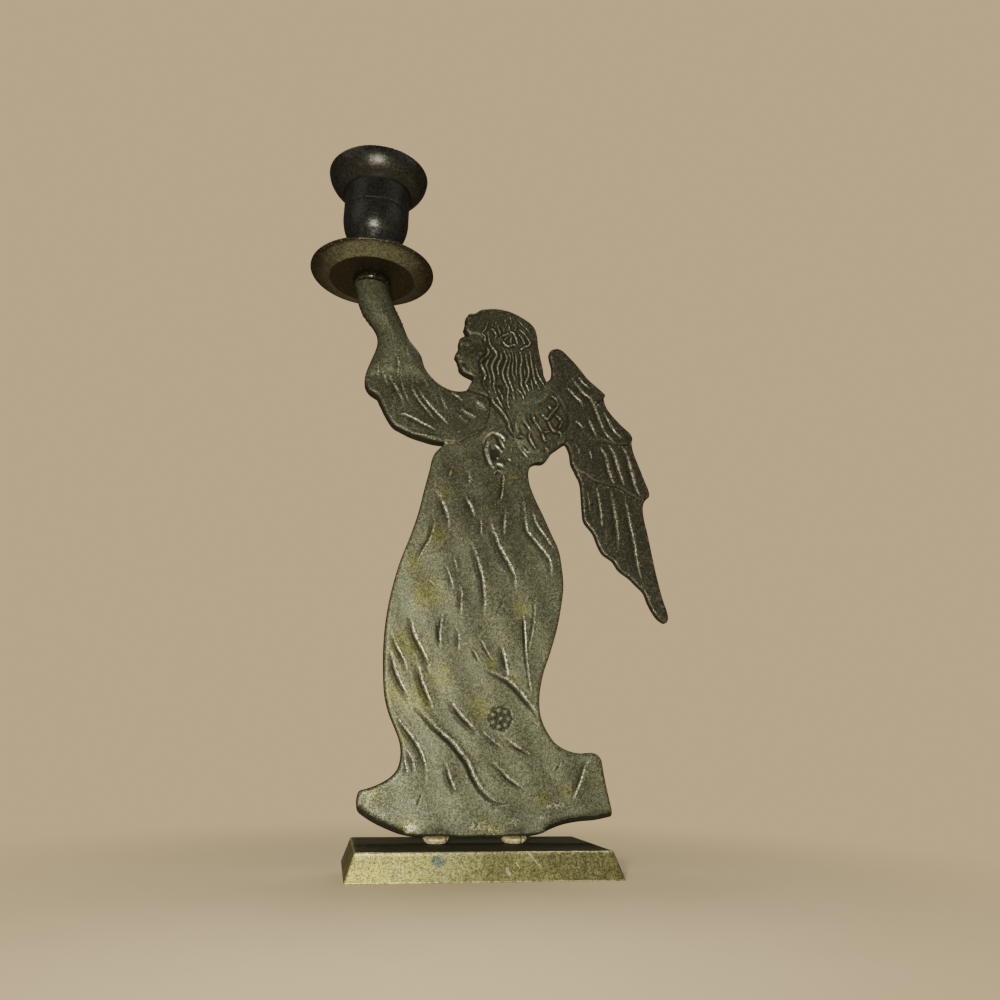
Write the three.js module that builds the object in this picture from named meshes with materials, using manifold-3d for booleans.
// Cast brass candlestick: a winged figure in low relief stands on a bevelled slab.
// Its raised hand carries a drip pan and a turned candle cup.
// Millimetres, +Z up. Origin: centre of the slab's underside. The relief faces -Y.

import * as THREE from 'three';
import { mergeVertices } from 'three/addons/utils/BufferGeometryUtils.js';
import Module from 'manifold-3d';

const wasm = await Module();
wasm.setup();

// Slab that the figure stands on
const BASE_LENGTH = 83;
const BASE_DEPTH = 51.6;
const BASE_HEIGHT = 8;
const BASE_END_SLOPE = 2.7;
const BASE_SIDE_SLOPE = 3.1;
const BASE_CORNER = 0.7;

// Flat casting of the figure
const GOWN_THICKNESS = 4.6;
const WING_THICKNESS = 3.0;
const EDGE_CHAMFER = 0.6;
const SLEEVE_LIFT = 0.6;
const HAIR_LIFT = 0.8;
const FEATHER_STEP = 0.45;
const HAND_HEIGHT = 196.8;
const HAND_HALF_DEPTH = 5.6;
const HAND_RADIUS = 6.3;
const HEM_HEIGHT = 2.8;
const FOOT_WIDTH = 9;
const FOOT_DEPTH = 4.6;
const TOE_REACH = 4.6;
const TOE_HEIGHT = 2.9;
const LEFT_FOOT_X = -13;
const RIGHT_FOOT_X = 12.3;

// Vertical axis of the pan and the cup, measured from the middle of the slab
const CUP_X = -44.7;

// Collar, pan and cup
const COLLAR_RADIUS = 7.2;
const COLLAR_HEIGHT = 3;
const PAN_RADIUS = 23.3;
const PAN_FLAT_RADIUS = 16;
const PAN_RISE = 2.7;
const PAN_SHEET = 1.2;
const CUP_HEIGHT = 45.3;
const CUP_FOOT_RADIUS = 9.8;
const CUP_NECK_RADIUS = 7;
const BARREL_RADIUS = 12.6;
const BARREL_START = 22.5;
const RIM_RADIUS = 19.35;
const BELL_HEIGHT = 10.9;
const SOCKET_RADIUS = 11.1;
const SOCKET_DEPTH = 22.3;
const SOCKET_MOUTH = 7.3;
const RING_LINE_HEIGHT = 27.9;
const RING_LINE_DEPTH = 0.3;

// Fasteners
const STUD_RADIUS = 2.4;
const STUD_IN_HAND = 12;
const STUD_IN_CUP = 13;
const SCREW_RADIUS = 1.25;
const SCREW_HEAD_RADIUS = 2.4;
const SCREW_HEAD_HEIGHT = 1.5;
const SCREW_IN_FOOT = 6.5;
const WASHER_RADIUS = 3;
const WASHER_THICKNESS = 0.5;
const HEAD_RECESS = 0.6;
const FIT = 0.3;

// Heights that follow from the sizes above
const handTop = BASE_HEIGHT + HAND_HEIGHT;
const panBottom = handTop + COLLAR_HEIGHT;
const cupBottom = panBottom + PAN_SHEET;
const washerBottom = HEAD_RECESS + SCREW_HEAD_HEIGHT;
const washerTop = washerBottom + WASHER_THICKNESS;

// Front planes of the relief, measured forward from the middle of the casting
const gownFace = GOWN_THICKNESS / 2;
const sleeveFace = gownFace + SLEEVE_LIFT;
const hairFace = gownFace + HAIR_LIFT;
const wingFace = WING_THICKNESS / 2;

// Bare forearm between the cuff and the hand, as sections across it:
// share of the way up, bend off the straight line, half width, half depth
const CUFF_X = -33.9;
const CUFF_HEIGHT = 172.5;
const forearm = [
  [0, 0, 7.3, 4.3], [0.144, 0, 5.95, 4.6], [0.276, -0.1, 6, 4.9], [0.457, -0.8, 6.8, 5.2],
  [0.663, -1.1, 6.8, 5.5], [1, 0, HAND_RADIUS, HAND_HALF_DEPTH],
].map(([share, bend, half, depth]) => {
  const middle = CUFF_X + share * (CUP_X - CUFF_X) + bend;
  const height = CUFF_HEIGHT + share * (HAND_HEIGHT - CUFF_HEIGHT);
  return { height, left: middle - half, right: middle + half, depth };
});
const handTips = forearm.at(-1);

// Sections of the forearm inside the sleeve: height, left, right, half depth
const upperArm = [
  [150.5, -38, -24, 1.4], [158, -44.2, -16.6, 2.7], [165, -43.2, -22.8, 3.5],
];

// Drawing of the figure: x to the right, height above the slab's top.
// Each stretch is one smooth curve, and stretches meet at corners.
const gownLeft = [
  [-24.5, HEM_HEIGHT], [-30, 4.9], [-34.5, 7.1], [-38, 9.4],
];
const leftFoot = [
  [-38, 9.4], [-38.5, 12.5], [-37.9, 15.7],
];
const leftSide = [
  [-37.9, 15.7], [-35, 16.4], [-31, 18], [-27.7, 20.1], [-25.8, 22.6], [-25.1, 26.5],
  [-25.6, 30.5], [-27.3, 34.6], [-29.6, 39.5], [-31.3, 45], [-32.3, 54], [-32.6, 63],
  [-32.2, 71], [-31, 80], [-28.6, 90.5], [-25.6, 99.5], [-22.9, 109], [-21, 118.5],
  [-19.4, 126], [-18.5, 130.4], [-14.7, 135.2],
];
const sleeveUnder = [
  [-14.7, 135.2], [-18.5, 135.4], [-22.1, 136.2], [-26.8, 137.4], [-30.9, 139.1],
  [-33.7, 140.6], [-36.4, 144.4], [-38.3, 148], [-40, 151.3],
];
const sleeveLeft = [
  [-40, 151.3], [-42.7, 152.8], [-44.4, 155], [-44.9, 158], [-44.4, 161], [-43.3, 165],
  [-42, 169],
];
const armLeft = [...sleeveLeft, ...forearm.map(({ left, height }) => [left, height])];
const sleeveRight = [
  [-24.6, 169.6], [-23.1, 164.9], [-20.7, 161.3], [-17.7, 158.4], [-14.5, 156.7],
  [-11, 156.1], [-7.4, 156.9],
];
const neck = [
  [-5.8, 160], [-4.6, 162.6],
];
const armRight = [
  ...forearm.map(({ right, height }) => [right, height]).reverse(), ...sleeveRight, ...neck,
];
const jaw = [
  [-4.6, 162.6], [-6.6, 163.3], [-8.6, 164.2], [-10, 165.4],
];
const faceFront = [
  [-10, 165.4], [-10.5, 166.4], [-10.1, 167.2], [-10.9, 168.1], [-11, 169.6], [-12.2, 170.7],
  [-11.3, 172.6], [-10.6, 174.6], [-10.8, 176.6], [-10, 178.6], [-7.2, 180],
];
const headTop = [
  [-7.2, 180], [-8.2, 181.5], [-8.8, 183], [-8.2, 185.2], [-8.3, 187], [-7.1, 189],
  [-4.9, 189.5], [-2.6, 191.3], [0.2, 192.1], [4, 192.6], [7.8, 192.2], [11.6, 191],
  [14.9, 189.3], [17.6, 187.4], [19.1, 185.2], [19.9, 181.9], [20.3, 177.9], [21.2, 172.9],
  [22.1, 168.9], [22.5, 165.7], [23.6, 164],
];
const wingTop = [
  [23.6, 164], [25.4, 165.7], [26, 168], [25.9, 171], [25.1, 174], [24.9, 176.4],
  [25.9, 178.1], [28, 178.8], [29.9, 178.3], [32.3, 176.2], [35.1, 173.2], [37.6, 170.1],
  [40.1, 166.8], [43.6, 163.5], [47.2, 160.1],
];
const wingStepOne = [
  [47.2, 160.1], [46.4, 159.2], [47.2, 155.5], [49.6, 152.1], [53.3, 148.3], [56.6, 145.4],
  [57.6, 143.4],
];
const wingStepTwo = [
  [57.6, 143.4], [57.2, 142], [57.8, 137.8], [59.9, 132.1], [62, 126.4], [63.4, 122.7],
  [63.6, 120.6],
];
const wingLong = [
  [63.6, 120.6], [62.2, 119.6], [61, 117.2], [61.1, 112.4], [62.4, 105.9], [63.8, 97.9],
  [65.3, 89.9], [67.2, 81.9], [68.7, 77.1], [68.9, 74.5], [67.8, 73],
];
const wingLower = [
  [67.8, 73], [65.3, 74.5], [63.3, 77.1], [61.5, 80.5], [60.1, 84.1], [57.1, 86.9],
  [54.9, 89.1], [51.9, 91], [50.3, 92.5], [48.7, 95.1], [44.9, 97.6], [43, 101],
  [41.3, 105.3], [39.5, 107.4], [37.9, 109.6], [37.4, 113.5], [37.1, 119], [36.6, 124.5],
  [34.5, 129.1], [33.3, 131.6], [32.7, 136], [31.2, 139.5],
];
const underWing = [
  [31.2, 139.5], [28, 137.6], [25.7, 135.4], [24.1, 132.5], [22.2, 130.7], [19.6, 130.5],
  [17.6, 129.2], [16.7, 126.5], [17.2, 121.9],
];
const rightSide = [
  [17.2, 121.9], [19.6, 115.8], [22.6, 109.8], [25.6, 103.3], [28, 97.9], [29.2, 91.5],
  [29.7, 85], [29.1, 79.5], [27.5, 70.3], [24.8, 61.3], [22.2, 53.5], [20.9, 45.4],
  [21.4, 39.5], [23.4, 35.1], [26.5, 31.1], [30.6, 28.9], [35.2, 28], [39, 28.3],
  [40.9, 27.8], [42.4, 26.1],
];
const rightFoot = [
  [42.4, 26.1], [42.8, 23.3], [44.2, 16.5], [46.1, 8.2],
];
const rightHem = [
  [46.1, 8.2], [40, 7], [34, 6.5], [28.5, 5.5], [24.5, 4.1], [21, HEM_HEIGHT],
];

// Curves across the casting that bound its raised areas
const shoulderSeam = [
  [-14.7, 135.2], [-9.4, 135.3], [-5.4, 137.6], [-2.5, 139.4], [-0.3, 142], [0.9, 144.8],
  [1.8, 148.1], [1.9, 151.7], [1.1, 154.7], [-1.5, 155.9], [-7.4, 156.9],
];
const hairFront = [
  [-7.2, 180], [-3.5, 179.9], [-1.1, 177.3], [-0.1, 174], [-1.1, 170.4], [-2.7, 167],
  [-1.5, 163.5], [-1.1, 160], [0.9, 156.2], [1.6, 152.6], [3.6, 150], [6, 147.3],
  [8.4, 143.3], [10.9, 139.7],
];
const hairBack = [
  [10.9, 139.7], [11.5, 144.7], [12.7, 149.6], [16.7, 153.2], [20.8, 156.2], [22.8, 159.5],
  [23.6, 164],
];
const tierOneEdge = [
  [47.2, 160.1], [44.4, 157.2], [41.7, 154.9], [38.1, 155.5], [34.1, 148.7], [29.2, 144.8],
  [23.3, 141.8],
];
const tierTwoEdge = [
  [57.6, 143.4], [53.1, 140.8], [48.2, 139.6], [43.2, 141], [38.3, 140.4], [33.9, 141],
  [31.2, 139.5],
];
const tierThreeEdge = [
  [63.6, 120.6], [59.3, 119.3], [53.3, 121.3], [47.3, 123.3], [41.4, 124.9], [37.8, 127.7],
  [34.5, 129.1],
];

// Places inside the shoulder where the wing's outlines close, hidden by the gown
const wingRoot = [[20, 134], [14, 146], [18, 158]];
const gownRoot = [
  [23.6, 164], [31, 156], [31.2, 139.5],
];

// Strokes of the relief: points, then the greatest width
const sleeveFolds = [
  [[[-33.3, 163], [-33.1, 159.5]], 1.0],
  [[[-36.4, 160], [-34.8, 157.3], [-32.9, 153.7], [-30.3, 147.2]], 1.0],
  [[[-31.4, 158.5], [-30.8, 154.6], [-29.5, 151.6], [-28, 149]], 0.9],
  [[[-27.8, 156], [-25.6, 151.6], [-22.2, 147.4], [-18.7, 143.6]], 1.1],
  [[[-25.4, 156], [-22, 150.6], [-17.6, 146], [-13, 141.8]], 1.2],
  [[[-17.2, 155], [-16.1, 151], [-13.9, 148.4]], 0.9],
  [[[-9.9, 149.6], [-7, 147.7], [-2.8, 145.9]], 1.5],
  [[[-11.3, 148], [-8.6, 145.2], [-4.8, 143.4]], 1.1],
  [[[-4.5, 152.9], [-2.2, 151.6], [0.3, 149.4]], 1.3],
  [[[-32, 144.7], [-27, 143.6], [-22, 141.3], [-17.5, 139.4]], 1.3],
];
const hairStrands = [
  [[[0.6, 182], [1.1, 178], [3.4, 174.2], [2.3, 168], [3.2, 162], [4.4, 156.4]], 0.9],
  [[[5.6, 174], [4.6, 167.5], [5, 160], [6.6, 154.5], [8.3, 148.4]], 0.9],
  [[[6.1, 176.8], [8, 172], [6.9, 166], [8.6, 159], [9.4, 153]], 0.9],
  [[[7.9, 175.3], [9.4, 171], [8.5, 166], [10.1, 159.4], [11.5, 155]], 0.9],
  [[[10, 175], [10.4, 169], [11, 162], [13.6, 157.3]], 0.9],
  [[[13, 175.8], [13.3, 169], [13.5, 162], [15.8, 156.6]], 0.9],
  [[[15.3, 174.8], [16.3, 168], [15.1, 161.5], [17, 157]], 0.9],
  [[[16.5, 177.3], [18, 169], [17.6, 162], [18.4, 160.3]], 0.9],
  [[[18.5, 172], [19.8, 166], [21.7, 159.4]], 0.9],
];
const combArches = [
  [[[5.6, 180.4], [7.8, 177.8], [9.6, 177.6], [9.8, 182.4]], 0.8],
  [[[9.7, 178.2], [12.4, 177.8], [11.4, 182.5]], 0.8],
  [[[12.6, 177.6], [14.9, 178.6], [13, 182.8]], 0.8],
  [[[14.9, 178.4], [17.2, 179.4], [15.4, 182.7]], 0.8],
];
const tierOneShafts = [
  [[[31.8, 164], [35, 159.3], [38, 156.6]], 1.0],
  [[[33.3, 168], [35.6, 163], [39.5, 158.7], [43.4, 156]], 1.0],
];
const tierTwoShafts = [
  [[[39.8, 151], [41.5, 146], [43.8, 142.5]], 1.0],
  [[[41.2, 154.2], [43.6, 150.3], [46.7, 144.5], [51, 142]], 1.1],
  [[[46, 150.5], [49.5, 145.6], [54, 143]], 1.1],
];
const tierThreeShafts = [
  [[[35.5, 140], [36, 135]], 0.9],
  [[[39.8, 139], [41, 133.5]], 0.9],
  [[[44.8, 139.5], [47, 133.5], [49, 127.2]], 1.2],
  [[[48, 140.7], [50.5, 134], [52.5, 127.5]], 1.2],
  [[[53, 140], [55.6, 133.5], [59.5, 123.5]], 1.2],
];
const longShafts = [
  [[[39.2, 121], [39.4, 117], [39.9, 112]], 0.9],
  [[[43, 123.5], [43.8, 114], [44.6, 108]], 1.0],
  [[[48.5, 122.5], [49.4, 112], [51, 100]], 1.1],
  [[[53.8, 121], [55.4, 109], [58.5, 90.5]], 1.2],
];
const shoulderScales = [
  [[[14, 150], [15, 146.2], [17.3, 143.2], [19.4, 146.6]], 0.9],
  [[[18.4, 150], [19.8, 146], [21.7, 146.3]], 0.9],
  [[[21, 152.5], [23.8, 148.2], [25.2, 152]], 0.9],
  [[[24, 148.2], [25.8, 144.6], [28.9, 146.5]], 0.9],
  [[[26.5, 144], [30.2, 141.5], [32.9, 145]], 0.9],
  [[[27.2, 150.2], [29.6, 147.8], [31.6, 149.8]], 0.9],
  [[[17.5, 140.5], [19.7, 136.5]], 0.8],
  [[[22, 139], [24.2, 135.6]], 0.8],
];
const gownGrooves = [
  [[[-16.3, 117], [-14.8, 112.5], [-12.9, 107.5], [-12.4, 103.5]], 1.2],
  [[[-6.5, 116], [-5, 112], [-3.2, 108]], 1.2],
  [[[-18.2, 110], [-18.4, 102], [-20.7, 95.5], [-23, 89]], 0.9],
  [[[-1.1, 108.5], [-0.9, 104], [-0.2, 101]], 0.9],
  [[[-4.3, 99], [-3, 94.5], [-1.3, 90], [0, 86]], 1.2],
  [[[3, 107], [4.4, 101], [6.2, 97], [9.8, 90.5], [11.4, 86.5], [11.7, 83]], 1.4],
  [[[14.5, 116.5], [15, 108.5], [17.6, 102], [22.5, 96], [24.9, 91.5], [24.8, 87.5]], 1.2],
  [[[18, 112], [19.6, 106.3], [23.6, 101], [26, 98]], 0.9],
  [[[-7.9, 84], [-7.6, 72.5]], 0.9],
  [[[-24.6, 72.5], [-23.2, 66], [-19.6, 59], [-17, 52.5]], 1.2],
  [[[-15.2, 71], [-14.8, 66], [-14, 62]], 1.2],
  [[[-8.6, 68.5], [-8, 61]], 0.8],
  [[[1.5, 54.5], [7, 51.8], [13, 47.3], [18, 42], [20.8, 39]], 1.5],
  [[[7.2, 63], [7.8, 59], [9.6, 52.6]], 1.3],
  [[[14.8, 75], [15.2, 64], [16.4, 53], [17.8, 47]], 0.9],
  [[[18.8, 79], [18, 70], [16.6, 61.5]], 0.9],
  [[[8.8, 81.5], [6, 75], [5, 72.3]], 0.8],
  [[[-30.3, 66.5], [-27.4, 59], [-24.2, 53]], 1.0],
  [[[-31.4, 60], [-29, 53.5], [-25.4, 46.5], [-22.2, 42]], 1.3],
  [[[-21.5, 40.5], [-15.5, 35.5], [-9, 30], [-4, 24], [1, 18], [5, 14], [9.6, 12.3]], 1.6],
  [[[-21.5, 56.5], [-19.8, 50], [-17.6, 45.5], [-15.4, 41]], 1.3],
  [[[-10.4, 45], [-6.4, 39.4], [-2, 35], [0.6, 33]], 1.5],
  [[[1, 35.5], [4, 32], [9.3, 28.8]], 0.9],
  [[[9.5, 32.5], [14, 29.2], [19, 26.8]], 1.0],
  [[[4.5, 25.7], [9.2, 20.4], [17, 16]], 1.0],
  [[[-10.9, 25], [-9.8, 20.5], [-7.4, 14.6]], 1.1],
  [[[-18.2, 15.5], [-19.8, 10.5]], 0.9],
  [[[-26.5, 37.5], [-21, 30.5], [-17.7, 24.5], [-16.5, 18]], 1.1],
  [[[-24.5, 26.5], [-22.8, 20]], 0.9],
  [[[38, 26], [35, 20], [32.2, 13.5]], 1.1],
];

// Bow at the breast and the flower on the skirt
const BOW_CENTRE = [4, 133.6];
const BOW_HALF = [4.1, 7.4];
const BOW_HOLE = [2, 4.2];
const BOW_LEAN = 0.2;
const BOW_LIFT = 0.8;
const curl = [[[10.3, 138.8], [10.4, 135.2]], 1.0];
const curlArch = [[[10.8, 138.4], [13.4, 136.8], [14.6, 133.6]], 1.3];
const ribbon = [[[7.4, 127.4], [7.9, 122], [6.6, 116], [8.4, 111], [7.8, 103]], 2.2];
const FLOWER_CENTRE = [7.3, 38.8];
const FLOWER_RADIUS = 3.7;
const FLOWER_PETALS = 8;
const FLOWER_LIFT = 0.5;

// Points along a smooth curve, about one step apart
function smooth(points, step = 2.6) {
  const curve = new THREE.CatmullRomCurve3(
    points.map(([x, z]) => new THREE.Vector3(x, z, 0)), false, 'centripetal');
  const count = Math.max(2, Math.round(curve.getLength() / step));
  return curve.getSpacedPoints(count).map((p) => new THREE.Vector2(p.x, p.y));
}

// A closed outline from stretches that meet at corners, finer along the face
function outline(stretches) {
  const points = [];
  for (const stretch of stretches) {
    const step = stretch === faceFront ? 1.1 : 2.6;
    points.push(...smooth(stretch, step).slice(0, -1));
  }
  return new THREE.Shape(points);
}

// Turn a shape's own thickness direction to face -Y and stand it on the slab
function stand(geometry) {
  return geometry.rotateX(Math.PI / 2).translate(0, 0, BASE_HEIGHT);
}

function toSolid(geometry) {
  const bare = geometry.clone();
  bare.deleteAttribute('normal');
  bare.deleteAttribute('uv');
  const merged = mergeVertices(bare, 1e-5);
  const mesh = new wasm.Mesh({
    numProp: 3,
    vertProperties: new Float32Array(merged.attributes.position.array),
    triVerts: new Uint32Array(merged.index.array),
  });
  return new wasm.Manifold(mesh);
}

function toGeometry(solid) {
  const { vertProperties, triVerts } = solid.getMesh();
  const geometry = new THREE.BufferGeometry();
  geometry.setAttribute('position', new THREE.BufferAttribute(vertProperties, 3));
  geometry.setIndex(new THREE.BufferAttribute(triVerts, 1));
  geometry.computeVertexNormals();
  return geometry;
}

const join = (solids) => solids.reduce((all, one) => all.add(one));

// A flat plate with chamfered edges, centred on the middle of the casting
function plate(shape, thickness, chamfer = EDGE_CHAMFER) {
  const core = thickness - 2 * chamfer;
  const geometry = new THREE.ExtrudeGeometry(shape, {
    depth: core,
    bevelEnabled: true,
    bevelThickness: chamfer,
    bevelSize: chamfer,
    bevelOffset: -chamfer,
    bevelSegments: 1,
    curveSegments: 1,
  });
  return toSolid(stand(geometry.translate(0, 0, -core / 2)));
}

// A pointed leaf along a curve, with its ridge above the face and its keel below it
function leaf([points, width], face, above, below) {
  const line = smooth(points, 4.6);
  const last = line.length - 1;
  const vertices = [line[0].x, line[0].y, face];
  for (let i = 1; i < last; i++) {
    const along = line[i + 1].clone().sub(line[i - 1]).normalize();
    const swell = Math.sqrt(Math.sin((Math.PI * i) / last));
    const half = (width / 2) * swell;
    vertices.push(line[i].x - along.y * half, line[i].y + along.x * half, face);
    vertices.push(line[i].x, line[i].y, face + above * swell);
    vertices.push(line[i].x + along.y * half, line[i].y - along.x * half, face);
    vertices.push(line[i].x, line[i].y, face - below * swell);
  }
  vertices.push(line[last].x, line[last].y, face);
  const end = vertices.length / 3 - 1;
  const index = [];
  for (let k = 0; k < 4; k++) {
    const next = (k + 1) % 4;
    index.push(0, 1 + next, 1 + k);
    for (let i = 1; i < last - 1; i++) {
      const a = 4 * i - 3;
      index.push(a + k, a + next, a + 4 + k);
      index.push(a + next, a + 4 + next, a + 4 + k);
    }
    index.push(end, end - 4 + k, end - 4 + next);
  }
  const geometry = new THREE.BufferGeometry();
  geometry.setAttribute('position', new THREE.Float32BufferAttribute(vertices, 3));
  geometry.setIndex(index);
  return toSolid(stand(geometry));
}

const ridges = (strokes, face) => strokes.map((stroke) => leaf(stroke, face, 0.35, 0.5));
const grooves = (strokes, face) => strokes.map((stroke) => leaf(stroke, face, 0.4, 0.55));

// A round limb through elliptical sections
function limb(sections, sides = 16) {
  const vertices = [];
  for (const [height, left, right, halfDepth] of sections) {
    for (let k = 0; k < sides; k++) {
      const turn = (2 * Math.PI * k) / sides;
      const x = (left + right) / 2 + ((right - left) / 2) * Math.cos(turn);
      vertices.push(x, halfDepth * Math.sin(turn), BASE_HEIGHT + height);
    }
  }
  const index = [];
  const top = (sections.length - 1) * sides;
  for (let row = 0; row < top; row += sides) {
    for (let k = 0; k < sides; k++) {
      const next = (k + 1) % sides;
      index.push(row + k, row + next, row + sides + k);
      index.push(row + next, row + sides + next, row + sides + k);
    }
  }
  for (let k = 1; k < sides - 1; k++) {
    index.push(0, k + 1, k);
    index.push(top, top + k, top + k + 1);
  }
  const geometry = new THREE.BufferGeometry();
  geometry.setAttribute('position', new THREE.Float32BufferAttribute(vertices, 3));
  geometry.setIndex(index);
  return toSolid(geometry);
}

// A turned piece: its profile lists radius and height
function turned(profile, x, z, sides = 30) {
  const points = profile.map(([radius, height]) => new THREE.Vector2(radius, height));
  const geometry = new THREE.LatheGeometry(points, sides);
  return geometry.rotateX(Math.PI / 2).translate(x, 0, z);
}

const rod = (radius, x, bottom, top, sides = 20) => toSolid(turned(
  [[0, 0], [radius, 0], [radius, top - bottom], [0, top - bottom]], x, bottom, sides));

// The slab: sloping sides, small corner rounds, two screw holes with recesses below
function baseSlab() {
  const rectangle = (length, depth) => {
    const corners = [];
    for (const [sx, sy, start] of [[1, 1, 0], [-1, 1, 1], [-1, -1, 2], [1, -1, 3]]) {
      for (let k = 0; k <= 3; k++) {
        const turn = (start + k / 3) * (Math.PI / 2);
        corners.push([
          sx * (length / 2 - BASE_CORNER) + BASE_CORNER * Math.cos(turn),
          sy * (depth / 2 - BASE_CORNER) + BASE_CORNER * Math.sin(turn)]);
      }
    }
    return corners;
  };
  const lower = rectangle(BASE_LENGTH, BASE_DEPTH);
  const topLength = BASE_LENGTH - 2 * BASE_END_SLOPE;
  const upper = rectangle(topLength, BASE_DEPTH - 2 * BASE_SIDE_SLOPE);
  const vertices = [
    ...lower.flatMap(([x, y]) => [x, y, 0]),
    ...upper.flatMap(([x, y]) => [x, y, BASE_HEIGHT]),
  ];
  const count = lower.length;
  const index = [];
  for (let k = 0; k < count; k++) {
    const next = (k + 1) % count;
    index.push(k, next, count + k, next, count + next, count + k);
  }
  for (let k = 1; k < count - 1; k++) {
    index.push(0, k + 1, k);
    index.push(count, count + k, count + k + 1);
  }
  const geometry = new THREE.BufferGeometry();
  geometry.setAttribute('position', new THREE.Float32BufferAttribute(vertices, 3));
  geometry.setIndex(index);
  let slab = toSolid(geometry);
  for (const x of [LEFT_FOOT_X, RIGHT_FOOT_X]) {
    slab = slab.subtract(rod(SCREW_RADIUS + FIT, x, -1, BASE_HEIGHT + 1));
    slab = slab.subtract(rod(WASHER_RADIUS + FIT, x, -1, washerTop));
  }
  return toGeometry(slab);
}

// One foot: a block below the hem with a rounded toe in front of it
function foot(x) {
  const block = new THREE.BoxGeometry(FOOT_WIDTH, FOOT_DEPTH, HEM_HEIGHT + 1.5);
  block.translate(x, 0, BASE_HEIGHT + (HEM_HEIGHT + 1.5) / 2);
  const toe = new THREE.SphereGeometry(1, 14, 10);
  toe.scale(FOOT_WIDTH / 2, TOE_REACH, TOE_HEIGHT);
  toe.translate(x, -FOOT_DEPTH / 4, BASE_HEIGHT);
  const below = new THREE.BoxGeometry(FOOT_WIDTH * 2, TOE_REACH * 4, TOE_HEIGHT * 2);
  below.translate(x, 0, BASE_HEIGHT - TOE_HEIGHT);
  return toSolid(block).add(toSolid(toe).subtract(toSolid(below)));
}

// The bow's loop, an upright ring that leans to the left
function bowLoop() {
  const [x, z] = BOW_CENTRE;
  const loop = new THREE.Shape();
  loop.absellipse(x, z, ...BOW_HALF, 0, 2 * Math.PI, false, BOW_LEAN);
  const hole = new THREE.Path();
  hole.absellipse(x + 0.4, z + 1.2, ...BOW_HOLE, 0, 2 * Math.PI, true, BOW_LEAN);
  loop.holes.push(hole);
  const geometry = new THREE.ExtrudeGeometry(loop, {
    depth: BOW_LIFT, bevelEnabled: true, bevelThickness: 0.4, bevelSize: 0.4,
    bevelOffset: -0.4, bevelSegments: 1, curveSegments: 10,
  });
  return toSolid(stand(geometry.translate(0, 0, gownFace - 0.4)));
}

// A round flower: a rim, a middle button and petals between them
function flower() {
  const [x, z] = FLOWER_CENTRE;
  const rise = FLOWER_LIFT;
  const rim = [[FLOWER_RADIUS - 0.7, -rise], [FLOWER_RADIUS, -rise],
    [FLOWER_RADIUS, rise * 0.4], [FLOWER_RADIUS - 0.35, rise], [FLOWER_RADIUS - 0.7, rise * 0.4]];
  const dome = (radius, cx, cz) => {
    const ball = new THREE.SphereGeometry(1, 8, 6);
    ball.scale(radius, radius, rise);
    return toSolid(stand(ball.translate(cx, cz, gownFace)));
  };
  const lathe = new THREE.LatheGeometry([...rim, rim[0]].map((p) => new THREE.Vector2(...p)), 28);
  lathe.rotateX(Math.PI / 2).translate(x, z, gownFace);
  const pieces = [toSolid(stand(lathe)), dome(FLOWER_RADIUS * 0.36, x, z)];
  for (let k = 0; k < FLOWER_PETALS; k++) {
    const turn = (2 * Math.PI * k) / FLOWER_PETALS;
    const reach = FLOWER_RADIUS * 0.62;
    pieces.push(dome(FLOWER_RADIUS * 0.22, x + reach * Math.cos(turn), z + reach * Math.sin(turn)));
  }
  return join(pieces);
}

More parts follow.
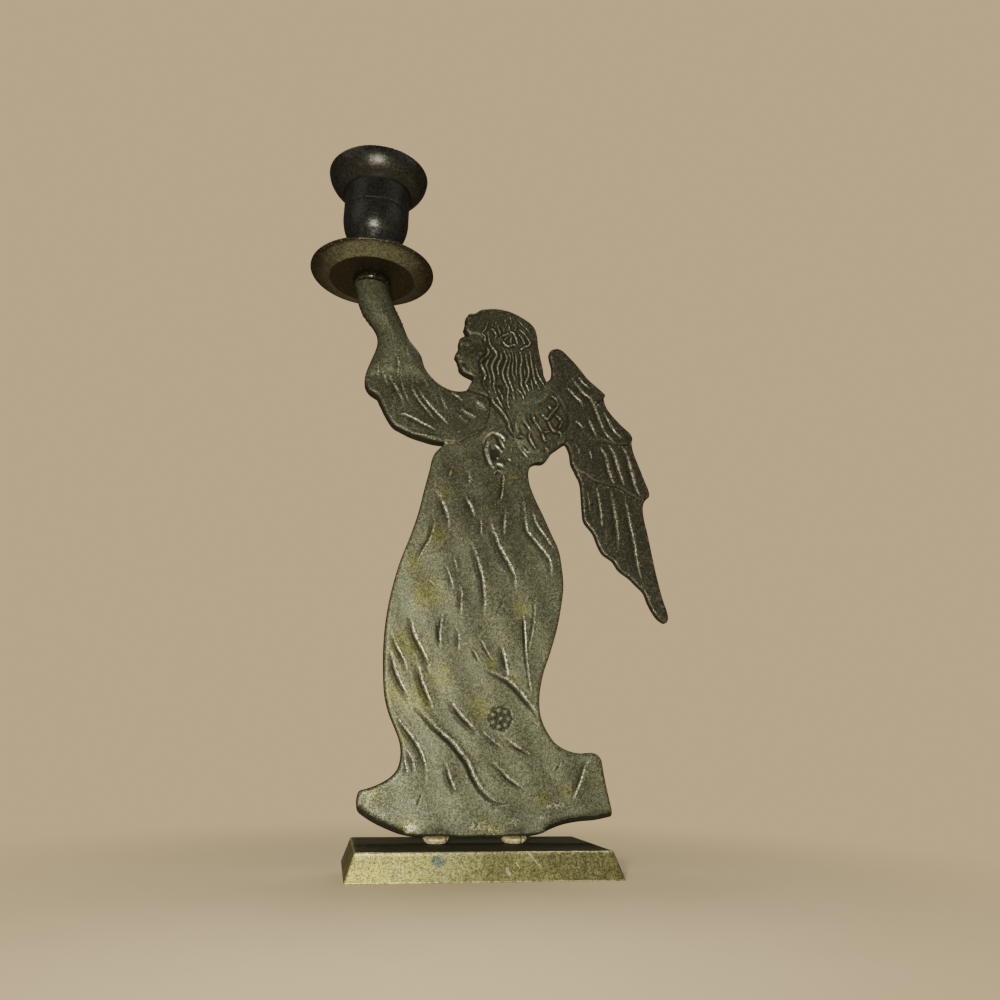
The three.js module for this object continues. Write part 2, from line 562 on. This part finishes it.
// The whole figure, one casting: gown, arm, head, wing and feet
function figure() {
  const reversed = (list) => [...list].reverse();
  const body = outline([
    gownLeft, leftFoot, leftSide, sleeveUnder, armLeft,
    [[handTips.left, HAND_HEIGHT], [handTips.right, HAND_HEIGHT]],
    armRight, jaw, faceFront, headTop, gownRoot, underWing, rightSide, rightFoot, rightHem,
    [rightHem.at(-1), gownLeft[0]]]);
  const root = [underWing[0], ...wingRoot, wingTop[0]];
  const wing = outline([wingTop, wingStepOne, wingStepTwo, wingLong, wingLower, root]);
  const tierThree = outline([
    wingTop, wingStepOne, wingStepTwo, tierThreeEdge, wingLower.slice(-4), root]);
  const tierTwo = outline([wingTop, wingStepOne, tierTwoEdge, root]);
  const tierOne = outline([wingTop, tierOneEdge, [tierOneEdge.at(-1), [18, 150], wingTop[0]]]);
  const sleeve = outline([
    sleeveUnder, sleeveLeft.slice(0, 4), [sleeveLeft[3], [-30, 163], sleeveRight[1]],
    sleeveRight.slice(1), reversed(shoulderSeam)]);
  const hair = outline([headTop, reversed(hairBack), reversed(hairFront)]);
  const step = 2 * FEATHER_STEP;
  const solids = [
    plate(body, GOWN_THICKNESS),
    plate(wing, WING_THICKNESS),
    plate(tierThree, WING_THICKNESS + step),
    plate(tierTwo, WING_THICKNESS + 2 * step),
    plate(tierOne, WING_THICKNESS + 3 * step),
    plate(sleeve, 2 * sleeveFace),
    plate(hair, 2 * hairFace),
    limb([...upperArm, ...forearm.map(({ height, left, right, depth }) => [height, left, right, depth])]),
    foot(LEFT_FOOT_X),
    foot(RIGHT_FOOT_X),
    bowLoop(),
    leaf(curl, gownFace, 0.7, 0.5),
    leaf(curlArch, gownFace, 0.8, 0.5),
    leaf(ribbon, gownFace, 0.6, 0.5),
    flower(),
    ...ridges(sleeveFolds, sleeveFace),
    ...ridges(hairStrands, hairFace),
    ...ridges(combArches, hairFace),
    ...ridges(shoulderScales, gownFace + FEATHER_STEP),
    ...ridges(longShafts, wingFace),
    ...ridges(tierThreeShafts, wingFace + FEATHER_STEP),
    ...ridges(tierTwoShafts, wingFace + 2 * FEATHER_STEP),
    ...ridges(tierOneShafts, wingFace + 3 * FEATHER_STEP),
  ];
  let cast = join(solids);
  for (const groove of grooves(gownGrooves, gownFace)) cast = cast.subtract(groove);
  cast = cast.subtract(rod(STUD_RADIUS + FIT, CUP_X, handTop - STUD_IN_HAND - FIT, handTop + 1));
  for (const x of [LEFT_FOOT_X, RIGHT_FOOT_X]) {
    const top = BASE_HEIGHT + SCREW_IN_FOOT + FIT;
    cast = cast.subtract(rod(SCREW_RADIUS + FIT, x, BASE_HEIGHT - 1, top, 16));
  }
  return toGeometry(cast);
}

// A turned bead between the hand and the pan
function collar() {
  const bore = STUD_RADIUS + FIT;
  const mid = COLLAR_HEIGHT / 2;
  const bead = COLLAR_RADIUS - 0.9;
  return turned([
    [bore, 0], [bead, 0], [COLLAR_RADIUS - 0.2, mid * 0.5], [COLLAR_RADIUS, mid],
    [COLLAR_RADIUS - 0.2, mid * 1.5], [bead, COLLAR_HEIGHT], [bore, COLLAR_HEIGHT], [bore, 0],
  ], CUP_X, handTop);
}

// The pan: a flat floor with a low sloping wall and a soft lip
function dripPan() {
  const bore = STUD_RADIUS + FIT;
  const lip = PAN_RADIUS - 0.5;
  return turned([
    [bore, 0], [PAN_FLAT_RADIUS, 0], [lip, PAN_RISE - 0.3], [PAN_RADIUS, PAN_RISE + 0.2],
    [PAN_RADIUS - 0.1, PAN_RISE + 0.7], [PAN_RADIUS - 0.7, PAN_RISE + 0.8],
    [PAN_FLAT_RADIUS - 0.2, PAN_SHEET], [bore, PAN_SHEET], [bore, 0],
  ], CUP_X, panBottom, 40);
}

// The cup: foot, neck, bowl, barrel with a ring line, flared bell and the candle socket
function candleCup() {
  const bore = STUD_RADIUS + FIT;
  const boreTop = STUD_IN_CUP + FIT;
  const bell = CUP_HEIGHT - BELL_HEIGHT;
  const flare = RIM_RADIUS - BARREL_RADIUS;
  const neckTop = BARREL_START - 6.1;
  const neckBulge = BARREL_RADIUS - 2.6;
  return turned([
    [0, boreTop], [bore, boreTop], [bore, 0], [CUP_FOOT_RADIUS - 0.6, 0],
    [CUP_FOOT_RADIUS, 0.8], [CUP_FOOT_RADIUS, 2], [CUP_FOOT_RADIUS - 1.3, 3.3],
    [CUP_NECK_RADIUS, 6], [CUP_NECK_RADIUS, 8.5],
    [neckBulge - 0.5, neckTop - 3], [neckBulge, neckTop - 1], [neckBulge, neckTop - 0.2],
    [neckBulge - 0.4, neckTop], [neckBulge + 0.3, neckTop + 0.5],
    [BARREL_RADIUS - 0.9, BARREL_START - 4], [BARREL_RADIUS - 0.2, BARREL_START - 2],
    [BARREL_RADIUS, BARREL_START],
    [BARREL_RADIUS, RING_LINE_HEIGHT - 0.3],
    [BARREL_RADIUS - RING_LINE_DEPTH, RING_LINE_HEIGHT],
    [BARREL_RADIUS, RING_LINE_HEIGHT + 0.3], [BARREL_RADIUS, bell],
    [BARREL_RADIUS + flare * 0.3, bell + BELL_HEIGHT * 0.19],
    [BARREL_RADIUS + flare * 0.67, bell + BELL_HEIGHT * 0.48],
    [BARREL_RADIUS + flare * 0.92, bell + BELL_HEIGHT * 0.78],
    [RIM_RADIUS, CUP_HEIGHT - 0.5], [RIM_RADIUS - 0.5, CUP_HEIGHT], [RIM_RADIUS - 1.3, CUP_HEIGHT],
    [RIM_RADIUS - 2.6, CUP_HEIGHT - 1.8],
    [SOCKET_RADIUS + 2.2, CUP_HEIGHT - SOCKET_MOUTH + 2.6],
    [SOCKET_RADIUS, CUP_HEIGHT - SOCKET_MOUTH],
    [SOCKET_RADIUS, CUP_HEIGHT - SOCKET_DEPTH], [0, CUP_HEIGHT - SOCKET_DEPTH],
  ], CUP_X, cupBottom, 36);
}

// A plain stud that ties hand, collar, pan and cup together
function stud() {
  const bottom = handTop - STUD_IN_HAND;
  const length = STUD_IN_HAND + COLLAR_HEIGHT + PAN_SHEET + STUD_IN_CUP;
  const end = STUD_RADIUS - 0.5;
  return turned([
    [0, 0], [end, 0], [STUD_RADIUS, 0.5], [STUD_RADIUS, length - 0.5], [end, length], [0, length],
  ], CUP_X, bottom, 20);
}

// A screw with a flat cheese head and a driver slot, its head in the slab's recess
function footScrew(x) {
  const length = BASE_HEIGHT + SCREW_IN_FOOT;
  const screw = toSolid(turned([
    [0, HEAD_RECESS], [SCREW_HEAD_RADIUS - 0.3, HEAD_RECESS], [SCREW_HEAD_RADIUS, HEAD_RECESS + 0.3],
    [SCREW_HEAD_RADIUS, washerBottom], [SCREW_RADIUS, washerBottom],
    [SCREW_RADIUS, length - 0.4], [SCREW_RADIUS - 0.4, length], [0, length],
  ], x, 0, 20));
  const slot = new THREE.BoxGeometry(0.7, SCREW_HEAD_RADIUS * 3, SCREW_HEAD_HEIGHT);
  slot.translate(x, 0, HEAD_RECESS);
  return toGeometry(screw.subtract(toSolid(slot)));
}

function footWasher(x) {
  const bore = SCREW_RADIUS + FIT;
  return turned([
    [bore, 0], [WASHER_RADIUS, 0], [WASHER_RADIUS, WASHER_THICKNESS],
    [bore, WASHER_THICKNESS], [bore, 0],
  ], x, washerBottom, 20);
}

// Materials, coloured as the worn metal looks
const metal = (color, roughness) => new THREE.MeshStandardMaterial({ color, roughness, metalness: 1 });
const wornBrass = metal(0x8f8560, 0.42);
const darkBrass = metal(0x5a5138, 0.4);
const blackenedBrass = metal(0x3a3328, 0.32);
const steel = metal(0x8d8d88, 0.38);

const group = new THREE.Group();
function put(name, geometry, material) {
  const mesh = new THREE.Mesh(geometry, material);
  mesh.name = name;
  group.add(mesh);
}

put('base', baseSlab(), darkBrass);
put('figure', figure(), wornBrass);
put('collar', collar(), darkBrass);
put('drip_pan', dripPan(), darkBrass);
put('candle_cup', candleCup(), blackenedBrass);
put('cup_stud', stud(), steel);
put('foot_screw_left', footScrew(LEFT_FOOT_X), steel);
put('foot_screw_right', footScrew(RIGHT_FOOT_X), steel);
put('foot_washer_left', footWasher(LEFT_FOOT_X), steel);
put('foot_washer_right', footWasher(RIGHT_FOOT_X), steel);

export default group;
